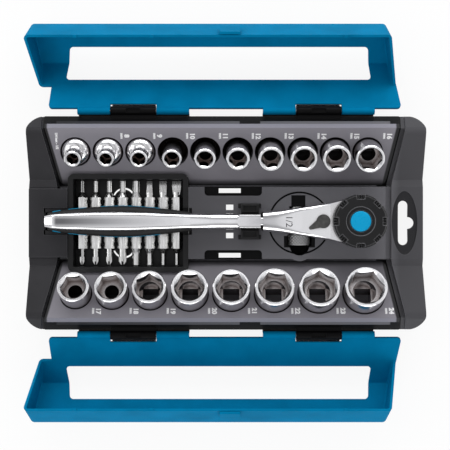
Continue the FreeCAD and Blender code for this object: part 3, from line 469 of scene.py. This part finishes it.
small_places = [-0.0765 + 0.02525 * step for step in range(9)]
holder_mark = panel_print("1/4 hex - 1/2", 0.0026, -0.1305, 0.0632, 1)
numbered("size_numbers_upper", range(8, 17), small_places, 0.0668, 1, [holder_mark])
large_places = [-0.0982, -0.0694, -0.0409, -0.0091, 0.0216, 0.0548, 0.0896, 0.1269]
numbered("size_numbers_lower", range(17, 25), large_places, 0.0676, -1, [])

# The bit tray: a black moulded insert under the handle, with a channel for each bit, two
# cross ribs that hold the bits up, and two curved slits right through its floor.
tray_plastic = moulded("tray_plastic", (0.0075, 0.0075, 0.008), 0.42)[0]
wear(["bit_tray"], tray_plastic)

# The lids: two satin teal mouldings that swing back on the case's hinges, each with a long
# window, a folded lip round its free edge and a latch tab in the lip's middle.
lid_plastic, tree, shade, teal = moulded(
    "lid_plastic", (0.0, 0.165, 0.335), 0.6, gloss=0.015, grain=1500.0, relief=0.12, edge=0.0005)
flow = spread(tree, object_noise(tree, 9.0, 1.0, (1.0, 4.0, 4.0)), 0.0, 0.35)
tree.links.new(two_tone(tree, flow, teal, (0.0, 0.19, 0.38)), shade.inputs["Base Color"])
wear(["lid_upper", "lid_lower"], lid_plastic)

# The hinge pins: lengths of drawn steel wire, two to a lid, pushed through the knuckles of
# case and lid. The drawing leaves fine streaks along the wire.


def brushed(name, bright, dull, rough, stretch):
    material, tree, shade = new_material(name)
    shade.inputs["Metallic"].default_value = 1.0
    streak = object_noise(tree, 300.0, 4.0, stretch)
    steel = two_tone(tree, spread(tree, streak, 0.0, 1.0), dull, bright)
    tree.links.new(steel, shade.inputs["Base Color"])
    tree.links.new(spread(tree, streak, rough + 0.06, rough - 0.06), shade.inputs["Roughness"])
    surface_relief(tree, shade, streak, 0.15, 0.0001, 0.0002)
    return material


pin_steel = brushed("pin_steel", (0.56, 0.56, 0.56), (0.4, 0.4, 0.4), 0.3, (0.1, 3.0, 3.0))
wear([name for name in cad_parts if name.startswith("hinge_pin")], pin_steel)

# The sockets and the bit holder: forged steel, turned, broached and chromed. The chrome is
# bright outside, and painted shade makes it darker and warmer in the bores and hollows.


def plated(name, bright, bore_shade, rough, reach):
    material, tree, shade = new_material(name)
    shade.inputs["Metallic"].default_value = 1.0
    # Painted shade: where the surface is closed in, its colour turns to the darker, warmer bore
    # tone.
    open_sky = tree.nodes.new("ShaderNodeAmbientOcclusion")
    open_sky.samples = 6
    open_sky.inputs["Distance"].default_value = reach
    shown = spread(tree, open_sky.outputs["AO"], 0.0, 1.0, 0.3, 0.85)
    colour = two_tone(tree, shown, bore_shade, bright)
    tree.links.new(colour, shade.inputs["Base Color"])
    haze = spread(tree, object_noise(tree, 120.0, 3.0), rough - 0.03, rough + 0.05)
    tree.links.new(haze, shade.inputs["Roughness"])
    surface_relief(tree, shade, object_noise(tree, 60.0, 1.0), 0.04, 0.0004, 0.0)
    return material, tree, shade, colour


bright_chrome, bore_shade_tone = (0.82, 0.82, 0.835), (0.15, 0.112, 0.098)
socket_chrome = plated("socket_chrome", bright_chrome, bore_shade_tone, 0.17, 0.012)[0]
sized_sockets = [f"socket_{size:02d}" for size in range(8, 25)]
wear(sized_sockets + ["bit_holder"], socket_chrome)

# The screwdriver bits: hardened tool steel, ground to a satin finish that runs along each
# bit. They lie loose in the tray's channels, shanks towards the handle.
bit_steel = brushed("bit_steel", (0.88, 0.88, 0.875), (0.6, 0.6, 0.59), 0.24, (3.0, 0.3, 3.0))
wear([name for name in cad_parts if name.startswith(("bit_upper", "bit_lower"))], bit_steel)

# The drive adapter: a short chromed step-down piece under the ratchet's neck. Its head is
# rolled with a diamond knurl for the fingers.
knurled_chrome, tree, shade, _ = plated(
    "knurled_chrome", (0.86, 0.86, 0.87), (0.4, 0.39, 0.38), 0.4, 0.003)
shade.inputs["Metallic"].default_value = 0.5
place = tree.nodes.new("ShaderNodeTexCoord")
rolled = []
for turn in (45.0, -45.0):
    lean = tree.nodes.new("ShaderNodeMapping")
    lean.inputs["Rotation"].default_value = (0, 0, math.radians(turn))
    tree.links.new(place.outputs["Object"], lean.inputs["Vector"])
    wave = tree.nodes.new("ShaderNodeTexWave")
    wave.inputs["Scale"].default_value = 190.0
    tree.links.new(lean.outputs["Vector"], wave.inputs["Vector"])
    rolled.append(wave.outputs["Fac"])
_, across, _ = axes(tree)
head = within(tree, (across, -0.0168, -0.0096))
diamonds = maths(tree, "MULTIPLY", maths(tree, "MULTIPLY", *rolled), head)
# Painted shade darkens the grooves between the knurl's diamonds.
groove_shade = maths(tree, "SUBTRACT", head, spread(tree, diamonds, 0.0, 1.0, 0.05, 0.35))
knurl_tone = two_tone(tree, groove_shade, (1.0, 1.0, 1.0), (0.1, 0.1, 0.103))
tree.links.new(knurl_tone, shade.inputs["Base Color"])
surface_relief(tree, shade, diamonds, 0.9, 0.0006, 0.0)
wear(["drive_adapter"], knurled_chrome)

# The ratchet's body: a one-piece forging, ground and chromed. Over the frame's slim bar lies the
# forged neck: waisted where the snap blocks hold it, then flaring to a flat round the lever.
dim_reflection, bright_reflection, neck_reflection = (0.18, 0.18, 0.19), (0.96, 0.96, 0.98), (0.6, 0.6, 0.62)
ratchet_chrome, tree, shade, colour = plated(
    "ratchet_chrome", (0.87, 0.87, 0.885), (0.3, 0.29, 0.28), 0.16, 0.003)
along, across, _ = axes(tree)
# Painted reflection: a strip along the top middle of the handle, dim at the left end, bright in
# the middle and paler over the neck.
painted_reflection = two_tone(tree, spread(tree, along, 0.0, 1.0, -0.125, -0.025), dim_reflection, bright_reflection)
painted_reflection = two_tone(tree, spread(tree, along, 0.0, 1.0, 0.002, 0.03), painted_reflection, neck_reflection)
off_middle = maths(tree, "ABSOLUTE", maths(tree, "SUBTRACT", across, ratchet_y))
band = spread(tree, off_middle, 1.0, 0.0, 0.0014, 0.0054)
band = maths(tree, "MULTIPLY", band, spread(tree, along, 1.0, 0.0, 0.028, 0.05))
band = maths(tree, "MULTIPLY", band, spread(tree, along, 0.0, 1.0, -0.1335, -0.1305))
tree.links.new(two_tone(tree, band, colour, painted_reflection), shade.inputs["Base Color"])
wear(["ratchet_body"], ratchet_chrome)

neck_start, neck_end = -0.0274, 0.0888
waist_edges = (0.0092, 0.0104, 0.0266, 0.0278)
bases = [
    (neck_start, 0.0262), (0.0092, 0.0262), (0.0104, 0.0351), (0.0266, 0.0351), (0.0278, 0.0262),
    (neck_end, 0.0262),
]
half_widths = [
    (neck_start, 0.0062), (-0.01, 0.0063), (0.0092, 0.0062), (0.0104, 0.0050), (0.0266, 0.0050),
    (0.0278, 0.0076), (0.041, 0.0087), (0.053, 0.0102), (0.065, 0.0122), (0.078, 0.0144),
    (neck_end, 0.0166),
]
tops = [
    (neck_start, 0.0374), (0.0, 0.0366), (0.02, 0.0364), (0.04, 0.0362), (0.05, 0.03643),
    (0.056, 0.0368), (0.059, 0.03699), (0.061, 0.0376), (0.066, 0.0386), (0.074, 0.0400),
    (0.081, 0.0413), (neck_end, 0.0416),
]
squareness = [
    (neck_start, 3.0), (-0.008, 2.3), (0.0092, 2.3), (0.0104, 2.6), (0.0266, 2.6), (0.0278, 2.2),
    (0.042, 2.5), (0.05, 3.2), (0.057, 4.4), (0.074, 4.4), (neck_end, 5.0),
]


def along_line(points, x):
    x = min(max(x, points[0][0]), points[-1][0])
    for (x0, w0), (x1, w1) in zip(points, points[1:]):
        if x0 <= x <= x1:
            return w0 + (w1 - w0) * (x - x0) / (x1 - x0)


bpy.ops.object.select_all(action="DESELECT")
bpy.ops.mesh.primitive_cylinder_add(
    vertices=96, radius=1.0, depth=neck_end - neck_start, rotation=(0, math.pi / 2, 0))
neck = bpy.context.object
neck.name = "ratchet_neck"
neck.location = ((neck_start + neck_end) / 2, 0, 0)
bpy.ops.object.transform_apply(location=True, rotation=True, scale=False)
bpy.ops.object.mode_set(mode="EDIT")
for station in (*(neck_start + step * 0.002 for step in range(1, 58)), *waist_edges):
    bpy.ops.mesh.select_all(action="SELECT")
    bpy.ops.mesh.bisect(plane_co=(station, 0, 0), plane_no=(1, 0, 0))
bpy.ops.object.mode_set(mode="OBJECT")
for corner in neck.data.vertices:
    x, y, z = corner.co
    half, base = along_line(half_widths, x), along_line(bases, x)
    top, power = along_line(tops, x), 2 / along_line(squareness, x)
    corner.co.y = ratchet_y + half * math.copysign(abs(y) ** power, y)
    corner.co.z = (top + base) / 2 + (top - base) / 2 * math.copysign(abs(z) ** power, z)

flat_start, flat_rise = 0.0585, 0.0039 / 0.032
flat_point, head_height = (0.08, 0, 0.03962), 0.03965
for face in neck.data.polygons:
    face.select = face.center.x > flat_start
bpy.ops.object.mode_set(mode="EDIT")
bpy.ops.mesh.select_mode(type="FACE")
for point, normal in ((flat_point, (-flat_rise, 0, 1)), ((0, 0, head_height), (0, 0, 1))):
    bpy.ops.mesh.bisect(plane_co=point, plane_no=normal, use_fill=True, clear_outer=True)
    bpy.ops.mesh.mark_sharp()
    bpy.ops.mesh.select_all(action="SELECT")
bpy.ops.mesh.normals_make_consistent(inside=False)
bpy.ops.object.mode_set(mode="OBJECT")
bpy.ops.object.select_all(action="DESELECT")
bpy.ops.mesh.primitive_cylinder_add(
    vertices=64, radius=0.0053, depth=0.004, location=(0.0745, ratchet_y, 0.0400))
cutter = bpy.context.object
bpy.ops.object.select_all(action="DESELECT")
neck.select_set(True)
bpy.context.view_layer.objects.active = neck
recess = neck.modifiers.new("lever_recess", "BOOLEAN")
recess.operation = "DIFFERENCE"
recess.object = cutter
bpy.ops.object.modifier_apply(modifier="lever_recess")
bpy.data.objects.remove(cutter)
bpy.ops.object.shade_smooth_by_angle(angle=math.radians(24))
finish_piece(neck, ratchet_chrome, "ratchet")

# The drive size: figures stamped into the neck across its width. Their sunk strokes are
# darker than the chrome round them.
stamped_mark, tree, shade = new_material("stamped_mark")
worn = spread(tree, object_noise(tree, 800.0), 0.0, 1.0)
stamp_tone = two_tone(tree, worn, (0.03, 0.03, 0.032), (0.12, 0.12, 0.125))
tree.links.new(stamp_tone, shade.inputs["Base Color"])
shade.inputs["Metallic"].default_value = 0.4
shade.inputs["Roughness"].default_value = 0.45
mark = lettering("1/2", 0.0072)
mark.location = (0.0483, ratchet_y, 0.06)
bpy.ops.object.transform_apply(location=True, rotation=False, scale=False)
bpy.ops.object.mode_set(mode="EDIT")
bpy.ops.mesh.select_all(action="SELECT")
bpy.ops.mesh.subdivide(number_cuts=3)
bpy.ops.object.mode_set(mode="OBJECT")
press = mark.modifiers.new("press", "SHRINKWRAP")
press.target = neck
press.wrap_method = "PROJECT"
press.use_project_z = True
press.use_negative_direction = True
press.use_positive_direction = False
press.offset = 0.00004
bpy.ops.object.modifier_apply(modifier="press")
mark.name = "drive_size_mark"
finish_piece(mark, stamped_mark, "ratchet")

# The drive: the toothed spindle with its square, the snap ring that keeps it in the head, and
# the ball and spring that hold a socket on the square.
wear(["drive_spindle"], ratchet_chrome)
wear(["retaining_ring", "detent_ball", "button_spring"], bit_steel)

# The spinner dial: a black moulded knob pressed on the spindle, notched for the fingertips,
# with fine grip lines round its rim and a pair of small ribs in each notch.
dial_plastic, tree, shade, dial_black = moulded(
    "dial_plastic", (0.0065, 0.0065, 0.007), 0.36, gloss=0.3, relief=0.2, edge=0.0005)
# Painted highlight along the dial's edges, convex and concave.
dial_edge_highlight = two_tone(tree, edge_lines(tree, 0.0009), dial_black, (0.2, 0.2, 0.21))
tree.links.new(dial_edge_highlight, shade.inputs["Base Color"])
dial_x = 0.1021
along, across, _ = axes(tree)
east = maths(tree, "SUBTRACT", along, dial_x)
north = maths(tree, "SUBTRACT", across, ratchet_y)
bearing = maths(tree, "ARCTAN2", north, east)
grip_lines = maths(tree, "SINE", maths(tree, "MULTIPLY", bearing, 120.0))
from_middle = maths(tree, "SQRT", sum_of_squares(tree, east, north))
rim = within(tree, (from_middle, 0.0188, 0.03))
surface_relief(tree, shade, maths(tree, "MULTIPLY", grip_lines, rim), 0.5, 0.0003, 0.0005)
wear(["spinner_dial"], dial_plastic)
notches, rib_gap = 8, 0.0022
notch_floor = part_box("spinner_dial")[0][2] + 0.003
rib = block("dial_rib", (0.0172, -0.0015, -0.0002), (0.0198, -0.0007, 0.0010), 0.0002)
rib_pair = joined("rib_pair", [rib, copied(rib, (0, rib_gap, 0))])
notch_place = (dial_x, ratchet_y, notch_floor)
ribs = [copied(rib_pair, notch_place, notch * math.tau / notches) for notch in range(notches)]
bpy.data.objects.remove(rib_pair)
finish_piece(joined("dial_ribs", ribs), dial_plastic, "drive")

# The release button: a glossy cyan cap, moulded and snapped on the release pin in the middle of
# the dial. Pushed down, it frees the ball.
button_plastic = moulded(
    "button_plastic", (0.0, 0.27, 0.5), 0.3, gloss=0.2, grain=700.0, relief=0.05, edge=0.0006)[0]
wear(["release_button"], button_plastic)

# The reverse lever and the pawl under it: a dark phosphated steel lever with a short tail, on a
# shaft through the head, and a hardened pawl that it turns over.
lever_metal = brushed(
    "lever_metal", (0.13, 0.128, 0.124), (0.07, 0.069, 0.067), 0.4, (1.0, 1.0, 1.0))
wear(["reverse_lever"], lever_metal)
wear(["pawl"], bit_steel)

# The grip: soft black rubber moulded round the handle's lower half, with teal slivers set
# flush into both flanks.
grip_rubber = moulded(
    "grip_rubber", (0.0115, 0.0115, 0.012), 0.58, grain=1600.0, relief=0.3, edge=0.0005)[0]
wear(["grip_sleeve"], grip_rubber)
inlay_plastic = moulded(
    "inlay_plastic", (0.0, 0.21, 0.38), 0.34, gloss=0.2, grain=1500.0, relief=0.1, edge=0.0003)[0]
wear(["grip_inlay_upper", "grip_inlay_lower"], inlay_plastic)
